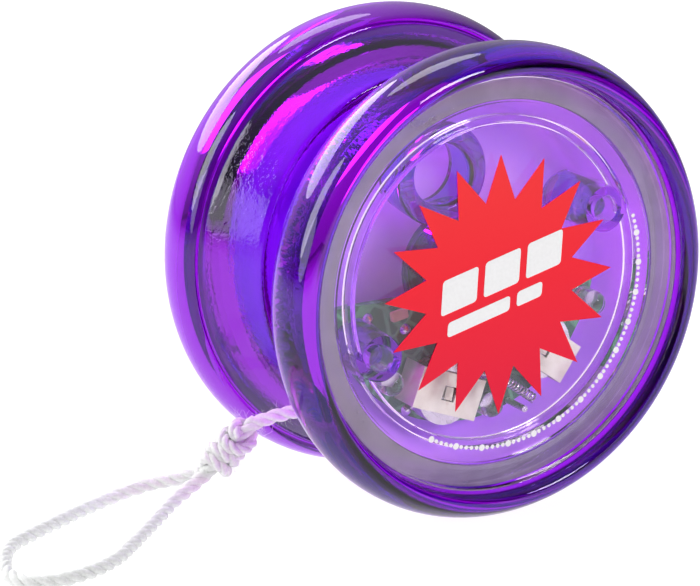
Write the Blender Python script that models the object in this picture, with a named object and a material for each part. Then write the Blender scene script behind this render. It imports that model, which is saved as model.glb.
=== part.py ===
"""Light-up yo-yo standing on its two rims, string wound in the gap, finger loop on the floor.

World: metres, +Z up, origin on the floor under the middle of the yo-yo.
The axle lies along Y at height AXLE_HEIGHT. The front half faces -Y, the rear half +Y.
Each half is modelled in a half frame: X to the right, Y up, Z out of the yo-yo's middle plane.
"""
import math

import bmesh
import bpy
from mathutils import Matrix, Vector

MM = 0.001

# Driving dimensions, millimetres
RIM_R = 28.5            # largest radius, on the rounded rim
RIM_Z = 12.85           # rim's largest radius, out from the middle plane
RIM_BOW_R = 5.85        # bow of the rim's outer band
LIP_TOP_Z = 17.2        # highest line of the lip, and half the yo-yo's width
LIP_WALL_R = 25.1       # the lip's inner wall, round the cap
LEDGE_Z = 13.6          # seat of the cap
LEDGE_R = 21.9          # inner edge of that seat
GAP_FACE_Z = 2.0        # half the string gap
WAIST_R = 22.2          # edge between the gap's face and the sloping flank
WEB_Z = 3.4             # inner side of the wall next to the string
HUB_R = 6.4
HUB_TOP_Z = 9.4
CLEAR = 0.3             # gap between pieces that touch

CAP_R = 24.75
CAP_TOP_Z = 14.9        # flat middle of the cap
CAP_EDGE_Z = 15.6       # its raised edge
CAP_UNDER_Z = 13.3
SKIRT_R = 20.0          # stiffening ring under the cap
SKIRT_Z = 11.8
LABEL_R = 15.6
LABEL_INNER_R = 10.2
LABEL_POINTS = 16
LABEL_THICK = 0.2

AXLE_R = 2.0
SHOULDER_R = 2.6        # thicker middle of the axle, which sets the gap
SLEEVE_BORE_R = 2.7     # 0.1 mm running clearance
SLEEVE_R = 4.0
NUT_AF = 7.0            # M4 nut across flats
NUT_THICK = 3.2
NUT_Z = 6.0

POST_AT = ((16.9, 24.0), (16.9, 204.0))     # radius and angle of the cap's hollow posts
POST_R = 2.7
POST_BORE_R = 1.7
PIN_R = 1.35            # solid pin of the shell inside each post
PIN_TOP_Z = 11.6
CUP_AT = (13.6, 110.0)
CUP_R = 5.6
CUP_BORE_R = 4.3
CUP_TOP_Z = 8.6

BOARD_Z = 5.6
BOARD_THICK = 1.2
BOARD_R = 18.6
BOARD_EDGE_Y = -2.2     # straight upper edge
PART_Z = BOARD_Z + BOARD_THICK + CLEAR      # underside of what stands on the board
CELL_R = 3.95           # LR41 button cell, 7.9 mm by 3.6 mm
CELL_THICK = 3.6
CELLS_AT = ((-4.9, -13.3, -20.0), (8.5, -9.7, -36.0))    # x, y and turn of each cell and its clip
CLIP_SHEET = 0.3
CLIP_HALF_WIDTH = 2.5
LED_R = 1.5             # 3 mm light-emitting diode
LED_FOOT_R = 1.7
LEDS_AT = ((-12.2, -11.2), (1.6, -16.0), (16.1, -5.5))
SPRING_FROM = (1.0, -11.2)
SPRING_TO = (7.9, -16.3)
SPRING_Z = 10.0
SPRING_COIL_R = 0.5
SPRING_WIRE_R = 0.13
SPRING_TURNS = 9
SPRING_STEPS = 7
SPRING_POST_AT = (0.1, -10.5)
CONTACT_PIN_AT = (6.0, -17.0)
CONTACT_TOP_Z = 10.9

STRING_R = 0.9
COIL_INNER_R = SLEEVE_R + CLEAR
COIL_R = 15.2           # outside of the wound string
COIL_HALF_WIDTH = 1.65

# Route of the free string, world millimetres: off the bottom of the coil, out of the gap, to the knot
LEAD_ROUTE = (
    (-7.5, 0.0, 13.6), (-11.0, 0.0, 13.0), (-15.0, 0.1, 12.4), (-18.5, 0.3, 12.0),
    (-21.5, 0.8, 11.6), (-23.8, 1.45, 10.9),
)
KNOT_FROM = (-24.1, 1.6, 10.7)
KNOT_TO = (-28.2, 4.9, 4.6)
KNOT_R = 2.05
# The loop leaves the knot, lies on the floor and comes back to the knot
LOOP_ROUTE = (
    (-28.85, 6.45, 4.2), (-30.4, 8.2, 3.3), (-33.0, 10.2, 2.5), (-36.0, 11.1, 1.7), (-39.5, 10.9, 1.05),
    (-43.5, 9.3, 0.9), (-49.5, 6.1, 0.9), (-54.6, 3.1, 0.9), (-57.6, -0.8, 0.9), (-59.4, -5.0, 0.9),
    (-59.2, -8.6, 0.9), (-56.6, -10.2, 0.9), (-52.5, -10.1, 0.9), (-47.0, -7.6, 0.9),
    (-41.4, -2.6, 0.95), (-36.9, 1.3, 1.3), (-33.2, 4.0, 2.1), (-30.1, 5.0, 3.3),
)

TURN_STEPS = 48
AXLE_HEIGHT = RIM_R * math.cos(math.pi / TURN_STEPS)    # the rims stand on a flat of their outline


def clear_scene():
    for obj in list(bpy.data.objects):
        bpy.data.objects.remove(obj, do_unlink=True)


def make_material(name, colour, roughness, metallic=0.0, alpha=1.0):
    material = bpy.data.materials.new(name)
    material.use_nodes = True
    shader = material.node_tree.nodes["Principled BSDF"]
    shader.inputs["Base Color"].default_value = (*colour, 1.0)
    shader.inputs["Roughness"].default_value = roughness
    shader.inputs["Metallic"].default_value = metallic
    shader.inputs["Alpha"].default_value = alpha
    material.diffuse_color = (*colour, alpha)
    return material


def make_frame(name, turn):
    """Empty at the middle of the axle; its Z points out of the front (turn 0) or rear (turn 180)."""
    frame = bpy.data.objects.new(name, None)
    bpy.context.collection.objects.link(frame)
    place = Matrix.Translation((0.0, 0.0, AXLE_HEIGHT * MM))
    place = place @ Matrix.Rotation(math.radians(turn), 4, "Z")
    frame.matrix_world = place @ Matrix.Rotation(math.pi / 2, 4, "X")
    return frame


def add_object(name, bm, material, parent=None, smooth_angle=35.0):
    """Turns a bmesh in millimetres into a linked object in metres."""
    bmesh.ops.scale(bm, vec=(MM, MM, MM), verts=bm.verts)
    bmesh.ops.recalc_face_normals(bm, faces=bm.faces)
    mesh = bpy.data.meshes.new(name)
    bm.to_mesh(mesh)
    bm.free()
    mesh.materials.append(material)
    if smooth_angle:
        mesh.shade_smooth()
        mesh.set_sharp_from_angle(angle=math.radians(smooth_angle))
    obj = bpy.data.objects.new(name, mesh)
    bpy.context.collection.objects.link(obj)
    obj.parent = parent
    return obj


def turned(profile, steps, at=(0.0, 0.0)):
    """Closed solid turned about Z from (radius, height) points; a point at radius 0 is a pole."""
    bm = bmesh.new()
    rings = []
    for radius, height in profile:
        if radius == 0:
            rings.append([bm.verts.new((at[0], at[1], height))])
            continue
        ring = []
        for step in range(steps):
            angle = 2 * math.pi * (step + 0.5) / steps
            x = at[0] + radius * math.cos(angle)
            y = at[1] + radius * math.sin(angle)
            ring.append(bm.verts.new((x, y, height)))
        rings.append(ring)
    for lower, upper in zip(rings, rings[1:] + rings[:1]):
        if len(lower) == 1 and len(upper) == 1:
            continue
        for step in range(steps):
            after = (step + 1) % steps
            corners = [lower[step % len(lower)], lower[after % len(lower)],
                       upper[after % len(upper)], upper[step % len(upper)]]
            bm.faces.new(list(dict.fromkeys(corners)))
    return bm


def polar(radius, degrees):
    return radius * math.cos(math.radians(degrees)), radius * math.sin(math.radians(degrees))


def slab(outline, low, high):
    """Flat plate of an outline in the half frame's XY plane, from height low to high."""
    bm = bmesh.new()
    bottom = [bm.verts.new((x, y, low)) for x, y in outline]
    top = [bm.verts.new((x, y, high)) for x, y in outline]
    bm.faces.new(list(reversed(bottom)))
    bm.faces.new(top)
    for index in range(len(outline)):
        after = (index + 1) % len(outline)
        bm.faces.new((bottom[index], bottom[after], top[after], top[index]))
    return bm


def combine(target, tool, operation):
    """Boolean of target with a tool object, which stays in the file as a hidden guide."""
    tool.hide_render = True
    tool.display_type = "WIRE"
    modifier = target.modifiers.new(operation.title(), "BOOLEAN")
    modifier.operation = operation
    modifier.solver = "EXACT"
    modifier.object = tool


def rim_band():
    """The rim's bowed outer band, from the gap side to the lip."""
    points = []
    for degrees in (-34, -20, -8, 0, 8, 20, 34):
        angle = math.radians(degrees)
        points.append((RIM_R - RIM_BOW_R + RIM_BOW_R * math.cos(angle), RIM_Z + RIM_BOW_R * math.sin(angle)))
    return points


def shell_profile():
    gap_side = [(AXLE_R + CLEAR, GAP_FACE_Z), (14.0, GAP_FACE_Z), (21.4, 2.75), (WAIST_R, 3.6)]
    groove = [(26.2, 8.5), (26.6, 9.1)]
    lip = [(26.9, 16.9), (26.1, LIP_TOP_Z), (LIP_WALL_R, 16.6)]
    seat = [(LIP_WALL_R, LEDGE_Z), (LEDGE_R, LEDGE_Z), (LEDGE_R, 9.0)]
    floor = [(20.0, 4.1), (14.0, WEB_Z), (HUB_R, WEB_Z)]
    hub = [(HUB_R, HUB_TOP_Z), (AXLE_R + CLEAR, HUB_TOP_Z)]
    return gap_side + groove + rim_band() + lip + seat + floor + hub


def make_shell(side, frame, material, guide):
    shell = add_object(side + "_shell", turned(shell_profile(), TURN_STEPS), material, frame)
    foot = WEB_Z - 0.8
    for number, place in enumerate(POST_AT, 1):
        tip = [(PIN_R, PIN_TOP_Z - 0.4), (PIN_R - 0.4, PIN_TOP_Z), (0, PIN_TOP_Z)]
        profile = [(0, foot), (PIN_R, foot)] + tip
        pin = add_object(f"{side}_pin_guide_{number}", turned(profile, 12, polar(*place)), guide, frame)
        combine(shell, pin, "UNION")
    profile = [(CUP_BORE_R, foot), (CUP_R, foot), (CUP_R, CUP_TOP_Z), (CUP_BORE_R, CUP_TOP_Z)]
    cup = add_object(side + "_cup_guide", turned(profile, 24, polar(*CUP_AT)), guide, frame)
    combine(shell, cup, "UNION")
    pocket = [polar((NUT_AF + 2 * CLEAR) / math.sqrt(3), 60 * corner) for corner in range(6)]
    cutter = add_object(side + "_nut_pocket_guide", slab(pocket, NUT_Z - CLEAR, HUB_TOP_Z + 1), guide, frame)
    combine(shell, cutter, "DIFFERENCE")


def make_cap(side, frame, material, guide):
    edge = [(22.2, CAP_TOP_Z), (24.3, CAP_EDGE_Z), (CAP_R, CAP_EDGE_Z - 0.25)]
    seat = [(CAP_R, LEDGE_Z + CLEAR), (LEDGE_R - CLEAR, LEDGE_Z + CLEAR), (LEDGE_R - CLEAR, CAP_UNDER_Z)]
    skirt = [(SKIRT_R, CAP_UNDER_Z), (SKIRT_R, SKIRT_Z), (SKIRT_R - 1, SKIRT_Z), (SKIRT_R - 1, CAP_UNDER_Z)]
    profile = [(0, CAP_TOP_Z)] + edge + seat + skirt + [(0, CAP_UNDER_Z)]
    cap = add_object(side + "_cap", turned(profile, TURN_STEPS), material, frame)
    low, high = WEB_Z + 1.0, CAP_UNDER_Z + 0.6
    for number, place in enumerate(POST_AT, 1):
        ring = [(POST_BORE_R, low), (POST_R, low), (POST_R, high), (POST_BORE_R, high)]
        post = add_object(f"{side}_post_guide_{number}", turned(ring, 16, polar(*place)), guide, frame)
        combine(cap, post, "UNION")


def make_label(side, frame, material):
    outline = []
    for index in range(2 * LABEL_POINTS):
        radius = LABEL_R if index % 2 == 0 else LABEL_INNER_R
        outline.append(polar(radius, 180.0 * index / LABEL_POINTS))
    low = CAP_TOP_Z + CLEAR
    add_object(side + "_label", slab(outline, low, low + LABEL_THICK), material, frame, 0)


def make_board(side, frame, material, guide):
    """D-shaped circuit board, notched round the hub and round one post."""
    reach = math.degrees(math.asin(-BOARD_EDGE_Y / BOARD_R))
    outline = []
    for step in range(25):
        outline.append(polar(BOARD_R, 180.0 + reach + (180.0 - 2 * reach) * step / 24))
    plate = slab(outline, BOARD_Z, BOARD_Z + BOARD_THICK)
    board = add_object(side + "_circuit_board", plate, material, frame, 0)
    low, high = BOARD_Z - 1, BOARD_Z + BOARD_THICK + 1
    hub = [(0, low), (HUB_R + CLEAR, low), (HUB_R + CLEAR, high), (0, high)]
    combine(board, add_object(side + "_hub_notch_guide", turned(hub, 24), guide, frame), "DIFFERENCE")
    notch = [(0, low), (POST_R + CLEAR, low), (POST_R + CLEAR, high), (0, high)]
    cutter = add_object(side + "_post_notch_guide", turned(notch, 16, polar(*POST_AT[1])), guide, frame)
    combine(board, cutter, "DIFFERENCE")


def make_cell(name, frame, material, x, y):
    low, high = PART_Z, PART_Z + CELL_THICK
    profile = [(0, low), (CELL_R - 0.8, low), (CELL_R, low + 0.5), (CELL_R, high), (0, high)]
    add_object(name, turned(profile, 24, (x, y)), material, frame)


def make_clip(name, frame, material, guide, x, y, turn):
    """Spring-metal bridge over a cell, with a window for its bent tab."""
    inside = CELL_R + CLEAR
    outside = inside + CLIP_SHEET
    low = PART_Z + CELL_THICK + CLEAR
    high = low + CLIP_SHEET
    outline = [
        (-outside, PART_Z), (-inside, PART_Z), (-inside, low), (inside, low), (inside, PART_Z),
        (outside, PART_Z), (outside, high), (-outside, high),
    ]
    place = Matrix.Translation((x, y, 0)) @ Matrix.Rotation(math.radians(turn), 4, "Z")
    bm = slab(outline, -CLIP_HALF_WIDTH, CLIP_HALF_WIDTH)
    bmesh.ops.transform(bm, matrix=place @ Matrix.Rotation(math.pi / 2, 4, "X"), verts=bm.verts)
    clip = add_object(name, bm, material, frame, 0)
    window = slab([(-0.9, -0.9), (0.9, -0.9), (0.9, 0.9), (-0.9, 0.9)], low - 0.5, high + 0.5)
    bmesh.ops.transform(window, matrix=place, verts=window.verts)
    combine(clip, add_object(name + "_window_guide", window, guide, frame, 0), "DIFFERENCE")


def make_led(name, frame, material, x, y):
    low, dome = PART_Z, PART_Z + 3.0
    profile = [(0, low), (LED_FOOT_R, low), (LED_FOOT_R, low + 0.5), (LED_R, low + 0.5)]
    for degrees in (0, 35, 65):
        angle = math.radians(degrees)
        profile.append((LED_R * math.cos(angle), dome + LED_R * math.sin(angle)))
    add_object(name, turned(profile + [(0, dome + LED_R)], 12, (x, y)), material, frame)


def make_pin(name, frame, material, place, high):
    profile = [(0, PART_Z), (0.4, PART_Z), (0.4, high), (0, high)]
    add_object(name, turned(profile, 10, place), material, frame)


def sweep(points, radius, sides):
    """Closed tube of round section along points, with flat ends."""
    bm = bmesh.new()
    rings = []
    side_way = None
    for index, point in enumerate(points):
        ahead = points[min(index + 1, len(points) - 1)] - points[max(index - 1, 0)]
        ahead.normalize()
        if side_way is None:
            side_way = ahead.orthogonal()
        side_way = (side_way - ahead * side_way.dot(ahead)).normalized()
        third = ahead.cross(side_way)
        ring = []
        for step in range(sides):
            angle = 2 * math.pi * step / sides
            spoke = math.cos(angle) * side_way + math.sin(angle) * third
            ring.append(bm.verts.new(point + radius * spoke))
        rings.append(ring)
    for first, second in zip(rings, rings[1:]):
        for step in range(sides):
            after = (step + 1) % sides
            bm.faces.new((first[step], first[after], second[after], second[step]))
    bm.faces.new(list(reversed(rings[0])))
    bm.faces.new(rings[-1])
    return bm


def make_spring(side, frame, material):
    """Coil spring of the centrifugal switch, lying flat over the board."""
    start = Vector((*SPRING_FROM, SPRING_Z))
    along = Vector((*SPRING_TO, SPRING_Z)) - start
    across = along.cross(Vector((0, 0, 1))).normalized()
    points = []
    for step in range(SPRING_TURNS * SPRING_STEPS + 1):
        angle = 2 * math.pi * step / SPRING_STEPS
        swing = across * math.cos(angle) + Vector((0, 0, 1)) * math.sin(angle)
        points.append(start + along * (step / (SPRING_TURNS * SPRING_STEPS)) + swing * SPRING_COIL_R)
    add_object(side + "_switch_spring", sweep(points, SPRING_WIRE_R, 4), material, frame)


def make_nut(side, frame, material, guide):
    outline = [polar(NUT_AF / math.sqrt(3), 60 * corner) for corner in range(6)]
    nut = add_object(side + "_axle_nut", slab(outline, NUT_Z, NUT_Z + NUT_THICK), material, frame, 0)
    bore = [(0, NUT_Z - 1), (AXLE_R + CLEAR, NUT_Z - 1), (AXLE_R + CLEAR, NUT_Z + 5), (0, NUT_Z + 5)]
    combine(nut, add_object(side + "_nut_bore_guide", turned(bore, 20), guide, frame), "DIFFERENCE")


def make_half(side, turn, looks):
    frame = make_frame(side + "_half", turn)
    guide = looks["guide"]
    make_shell(side, frame, looks["purple"], guide)
    make_cap(side, frame, looks["clear"], guide)
    make_label(side, frame, looks["label"])
    make_board(side, frame, looks["board"], guide)
    for number, (x, y, clip_turn) in enumerate(CELLS_AT, 1):
        make_cell(f"{side}_button_cell_{number}", frame, looks["steel"], x, y)
        make_clip(f"{side}_battery_clip_{number}", frame, looks["nickel"], guide, x, y, clip_turn)
    for number, (x, y) in enumerate(LEDS_AT, 1):
        make_led(f"{side}_led_{number}", frame, looks["led"], x, y)
    make_spring(side, frame, looks["steel"])
    make_pin(side + "_spring_post", frame, looks["steel"], SPRING_POST_AT, CONTACT_TOP_Z)
    make_pin(side + "_contact_pin", frame, looks["steel"], CONTACT_PIN_AT, CONTACT_TOP_Z)
    make_nut(side, frame, looks["steel"], guide)


def make_axle(frame, material):
    tip = NUT_Z + NUT_THICK + 0.2
    shoulder = GAP_FACE_Z - CLEAR
    front = [(0, tip), (AXLE_R - 0.3, tip), (AXLE_R, tip - 0.3), (AXLE_R, shoulder), (SHOULDER_R, shoulder)]
    profile = front + [(radius, -height) for radius, height in reversed(front)]
    add_object("axle", turned(profile, 24), material, frame)


def make_sleeve(frame, material):
    half = GAP_FACE_Z - CLEAR - 0.1
    profile = [(SLEEVE_BORE_R, half), (SLEEVE_R - 0.2, half), (SLEEVE_R, half - 0.2),
               (SLEEVE_R, 0.2 - half), (SLEEVE_R - 0.2, -half), (SLEEVE_BORE_R, -half)]
    add_object("bearing_sleeve", turned(profile, 24), material, frame)


def make_winding(frame, material):
    edge = COIL_R - 0.6
    half = COIL_HALF_WIDTH
    profile = [(COIL_INNER_R, half), (edge, half), (COIL_R, half - 0.6), (COIL_R, 0.6 - half),
               (edge, -half), (COIL_INNER_R, -half)]
    add_object("string_winding", turned(profile, 48), material, frame)


def smooth_route(route, count):
    """Points at even steps along a Catmull-Rom curve through the route's points."""
    knots = [Vector(point) for point in route]
    knots = [2 * knots[0] - knots[1]] + knots + [2 * knots[-1] - knots[-2]]
    fine = []
    for before, start, end, after in zip(knots, knots[1:], knots[2:], knots[3:]):
        slope = end - before
        bend = 2 * before - 5 * start + 4 * end - after
        twist = 3 * start - before - 3 * end + after
        for step in range(20):
            t = step / 20
            fine.append(0.5 * (2 * start + slope * t + bend * t ** 2 + twist * t ** 3))
    fine.append(knots[-2])
    lengths = [0.0]
    for first, second in zip(fine, fine[1:]):
        lengths.append(lengths[-1] + (second - first).length)
    points = []
    place = 0
    for index in range(count):
        target = lengths[-1] * index / (count - 1)
        while place < len(fine) - 2 and lengths[place + 1] < target:
            place += 1
        share = (target - lengths[place]) / (lengths[place + 1] - lengths[place])
        points.append(fine[place].lerp(fine[place + 1], share))
    return points


def make_string(name, route, count, material):
    curve = bpy.data.curves.new(name, "CURVE")
    curve.dimensions = "3D"
    curve.bevel_depth = STRING_R * MM
    curve.bevel_resolution = 2
    curve.use_fill_caps = True
    spline = curve.splines.new("POLY")
    spline.points.add(count - 1)
    for point, place in zip(spline.points, smooth_route(route, count)):
        point.co = (*(place * MM), 1.0)
    curve.materials.append(material)
    obj = bpy.data.objects.new(name, curve)
    bpy.context.collection.objects.link(obj)


def make_knot(material):
    start, end = Vector(KNOT_FROM), Vector(KNOT_TO)
    length = (end - start).length
    profile = [(0, 0)]
    for step in range(1, 8):
        height = length * step / 8
        waist = 1 - 0.22 * math.exp(-((height / length - 0.5) / 0.12) ** 2)
        profile.append((KNOT_R * waist * math.sin(math.pi * step / 8) ** 0.5, height))
    profile.append((0, length))
    bm = turned(profile, 12)
    turn = Vector((0, 0, 1)).rotation_difference(end - start).to_matrix().to_4x4()
    bmesh.ops.transform(bm, matrix=Matrix.Translation(start) @ turn, verts=bm.verts)
    add_object("loop_knot", bm, material)


def main():
    clear_scene()
    looks = {
        "purple": make_material("purple_plastic", (0.22, 0.03, 0.75), 0.08, alpha=0.7),
        "clear": make_material("lilac_clear_plastic", (0.62, 0.45, 0.95), 0.05, alpha=0.35),
        "label": make_material("label_red", (0.9, 0.07, 0.08), 0.35),
        "board": make_material("board_green", (0.03, 0.28, 0.12), 0.4),
        "steel": make_material("steel", (0.62, 0.62, 0.63), 0.25, 1.0),
        "nickel": make_material("nickel", (0.72, 0.69, 0.62), 0.3, 1.0),
        "led": make_material("led_clear", (0.9, 0.9, 0.92), 0.05, alpha=0.5),
        "sleeve": make_material("sleeve_white", (0.85, 0.85, 0.83), 0.4),
        "string": make_material("string_white", (0.9, 0.9, 0.89), 0.9),
        "guide": make_material("guide", (0.5, 0.5, 0.5), 0.5),
    }
    make_half("front", 0, looks)
    make_half("rear", 180, looks)
    middle = make_frame("axle_frame", 0)
    make_axle(middle, looks["steel"])
    make_sleeve(middle, looks["sleeve"])
    make_winding(middle, looks["string"])
    make_string("string_lead", LEAD_ROUTE, 8, looks["string"])
    make_knot(looks["string"])
    make_string("finger_loop", LOOP_ROUTE, 36, looks["string"])


main()
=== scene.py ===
"""Looks of the light-up yo-yo: clear violet plastic, its lights inside, and twisted white string.

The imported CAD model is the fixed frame. Lengths below are millimetres unless a name says otherwise,
and each half is described in its own half frame: X to the right, Y up, Z out of the middle plane.
"""
import math
import random

import bmesh
import bpy
from mathutils import Matrix, Vector, noise


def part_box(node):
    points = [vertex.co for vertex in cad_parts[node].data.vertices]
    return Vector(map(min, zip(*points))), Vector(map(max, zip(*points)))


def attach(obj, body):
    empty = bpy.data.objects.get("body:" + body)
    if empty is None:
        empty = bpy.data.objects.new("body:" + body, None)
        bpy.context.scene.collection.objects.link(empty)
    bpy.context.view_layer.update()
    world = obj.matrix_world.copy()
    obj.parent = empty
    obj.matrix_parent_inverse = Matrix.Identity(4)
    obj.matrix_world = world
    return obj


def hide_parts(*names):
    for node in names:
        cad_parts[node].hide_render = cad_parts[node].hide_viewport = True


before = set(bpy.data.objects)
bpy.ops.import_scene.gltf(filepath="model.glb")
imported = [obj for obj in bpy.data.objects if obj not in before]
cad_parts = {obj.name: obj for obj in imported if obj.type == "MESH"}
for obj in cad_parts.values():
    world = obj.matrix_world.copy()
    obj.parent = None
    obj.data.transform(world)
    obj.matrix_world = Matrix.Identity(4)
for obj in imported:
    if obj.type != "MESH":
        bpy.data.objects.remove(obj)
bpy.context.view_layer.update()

MM = 0.001
SPIN = "yo_yo"          # body of the two halves
HELD = "string"         # body of the sleeve and the string
AXLE_HEIGHT = (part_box("front_shell")[0][2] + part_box("front_shell")[1][2]) / 2 / MM
RIM_R = 28.5
BAND_R = 5.85           # bow of the rim's outer band
FINE = 192              # steps round a big turned piece
SHARP_ANGLE = 35.0      # edges bent by more than this, in degrees, stay sharp

# Camera
CAM_AZIMUTH = -30.75
CAM_ELEVATION = 15.74
CAM_DISTANCE = 477.3
CAM_RIGHT = -9.74       # the camera looks a little left of and below the yo-yo's middle
CAM_UP = -4.39
CAM_LENS = 205.7

# The string: the same route as in the CAD part
STRING_D = 1.8
PLY_AT_R = 0.43         # each of the three plies winds round the string's middle at this radius
PLY_R = 0.46
PLY_PITCH = 5.0
COIL_FIRST_R = 5.1
COIL_LAYER = 1.55
COIL_LAYERS = 7
COIL_SIDE = 0.8
LEAD_ROUTE = (
    (-7.5, 0.0, 13.6), (-11.0, 0.0, 13.0), (-15.0, 0.1, 12.4), (-18.5, 0.3, 12.0),
    (-21.5, 0.8, 11.6), (-23.8, 1.45, 10.9),
)
KNOT_FROM = (-24.1, 1.6, 10.7)
KNOT_TO = (-28.2, 4.9, 4.6)
LOOP_ROUTE = (
    (-28.85, 6.45, 4.2), (-30.4, 8.2, 3.3), (-33.0, 10.2, 2.5), (-36.0, 11.1, 1.7),
    (-39.5, 10.9, 1.05), (-43.5, 9.3, 0.9), (-49.5, 6.1, 0.9), (-54.6, 3.1, 0.9),
    (-57.6, -0.8, 0.9), (-59.4, -5.0, 0.9), (-59.2, -8.6, 0.9), (-56.6, -10.2, 0.9),
    (-52.5, -10.1, 0.9), (-47.0, -7.6, 0.9), (-41.4, -2.6, 0.95), (-36.9, 1.3, 1.3),
    (-33.2, 4.0, 2.1), (-30.1, 5.0, 3.3),
)
FREE_POINTS = 330       # points of the path outside the yo-yo, where loose fibres show
# Wraps of the knot: turns, from and to which share of its length, radius, where its fibres
# start, lean and first turn
KNOT_WRAPS = (
    (2.15, (0.10, 0.52), 1.35, 1.6, 0.75, 0.0),
    (2.2, (0.50, 0.92), 1.42, 1.7, -0.85, 0.35),
)

# The halves, as in the CAD part
GAP_FACE_Z = 2.0
WALL_Z = 3.4            # inner face of the string-side wall
POST_FOOT_Z = 2.7       # pins and cup grow out of the wall from here
CAP_R = 24.78
CAP_TOP_Z = 14.9
CAP_UNDER_Z = 13.3
FLANGE_Z = 13.9         # underside of the cap's edge
POST_IN_R = 1.7         # hollow posts that go over the pins
POST_OUT_R = 2.7
POST_END_Z = 4.4
LEDGE_Z = 13.6          # seat of the cap
LEDGE_R = 21.9
BORE_R = 2.3
HUB_R = 6.4
HUB_TOP_Z = 9.4
NUT_ACROSS = 7.6
NUT_FLOOR_Z = 5.7
POST_AT = ((16.9, 24.0), (16.9, 204.0))     # radius and angle of the two pins
PIN_R = 1.35
CUP_AT = (13.6, 110.0)
CUP_IN_R = 4.3
CUP_OUT_R = 5.6
CUP_TOP_Z = 8.6
BOARD_TOP_Z = 6.85      # solder joints start a little inside the board
PART_Z = 7.1            # parts on the board stand at this height
CELLS_AT = ((-4.9, -13.3, -20.0), (8.5, -9.7, -36.0))
LEDS_AT = ((-12.2, -11.2), (1.6, -16.0), (16.1, -5.5))
LED_R = 1.5
SPRING_FROM = (1.0, -11.2, 10.0)
SPRING_TO = (7.9, -16.3, 10.0)
SPRING_TURNS = 17
SPRING_COIL_R = 0.5
SPRING_WIRE_R = 0.13
SKIN = 0.05             # thickness of the milky skin, and its gap to the cup and pins
SCUFF_Z = (8.8, 8.3)    # the flank's grain fades in over this distance from the middle plane
SCUFF_R = (20.2, 21.2)  # and over this distance from the axle

# Board details: x, y, and the angle where it matters
SOLDER_AT = (
    (-14.6, -8.6), (-8.4, -6.0), (-2.4, -8.0), (4.2, -7.6), (13.6, -9.6),
    (-13.6, -4.0), (12.4, -4.2), (2.8, -13.2), (5.4, -14.9), (-8.2, -16.0),
)
RESISTORS_AT = ((-9.6, -3.9, 10), (9.8, -3.4, -15), (-1.0, -8.6, 60))

# Label: the burst's points, and its plain marks by left, right, lower and upper edge, before they
# lean and tilt
BURST_POINTS = 16
BURST_TIP_R = 15.6
BURST_NOTCH_R = 10.2
MARKS = (
    (-8.3, -3.3, -0.6, 3.4), (-2.3, 2.7, -0.6, 3.4), (3.7, 8.7, -0.6, 3.4),
    (-7.2, 1.6, -3.4, -1.7), (2.6, 6.2, -3.4, -1.7),
)
MARK_CORNER = 0.4
MARK_LEAN = 0.32
MARK_TILT = 14.0
DOTS = 64
DOTS_R = 19.6
DOTS_START = -118       # degrees
DOTS_STEP = 2.15

# Light
PALE = 0.93             # brightness of the table and the room
BRIGHT_SIDE = (-0.05, 0.65, 0.75)
# Lamps: name, place in metres, width, height, power in watts
LAMPS = (
    ("softbox_left", (-0.70, 0.05, 0.40), 0.2, 0.6, 1.9),
    ("softbox_low", (-0.75, -0.05, 0.18), 0.22, 0.34, 0.5),
    ("softbox_top", (0.10, 0.35, 0.75), 0.5, 0.25, 1.4),
    ("softbox_back", (-0.28, 0.66, 0.48), 0.9, 0.4, 5.2),
    ("softbox_front", (0.30, -0.85, 0.50), 0.3, 0.3, 4.0),
)


# ---------------------------------------------------------------- helpers

def smooth_route(route, step):
    """Points about step apart along a Catmull-Rom curve through the route's points."""
    knots = [Vector(point) for point in route]
    knots = [2 * knots[0] - knots[1]] + knots + [2 * knots[-1] - knots[-2]]
    fine = []
    for before, start, end, after in zip(knots, knots[1:], knots[2:], knots[3:]):
        for part in range(24):
            t = part / 24
            square = (2 * before - 5 * start + 4 * end - after) * t ** 2
            cube = (3 * start - before - 3 * end + after) * t ** 3
            fine.append(0.5 * (2 * start + (end - before) * t + square + cube))
    fine.append(knots[-2])
    return even_steps(fine, step)


def even_steps(points, step):
    """The same line with points an even step apart."""
    lengths = [0.0]
    for first, second in zip(points, points[1:]):
        lengths.append(lengths[-1] + (second - first).length)
    count = max(2, round(lengths[-1] / step))
    result = []
    place = 0
    for index in range(count + 1):
        target = lengths[-1] * index / count
        while place < len(points) - 2 and lengths[place + 1] < target:
            place += 1
        share = (target - lengths[place]) / max(lengths[place + 1] - lengths[place], 1e-9)
        result.append(points[place].lerp(points[place + 1], share))
    return result


def polar(radius, degrees):
    """The x and y of a point at a radius and angle."""
    return radius * math.cos(math.radians(degrees)), radius * math.sin(math.radians(degrees))


def arc(x, y, radius, start, end, steps):
    """Points of an arc about (x, y), from one angle to another in degrees."""
    points = []
    for step in range(steps + 1):
        angle = math.radians(start + (end - start) * step / steps)
        points.append((x + radius * math.cos(angle), y + radius * math.sin(angle)))
    return points


def half_matrix(side):
    """From a half's own frame, in millimetres, to the world, in metres."""
    turn = 0 if side == "front" else 180
    turned_round = Matrix.Rotation(math.radians(turn), 4, "Z")
    place = Matrix.Translation((0, 0, AXLE_HEIGHT * MM)) @ turned_round
    return place @ Matrix.Rotation(math.pi / 2, 4, "X") @ Matrix.Scale(MM, 4)


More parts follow.
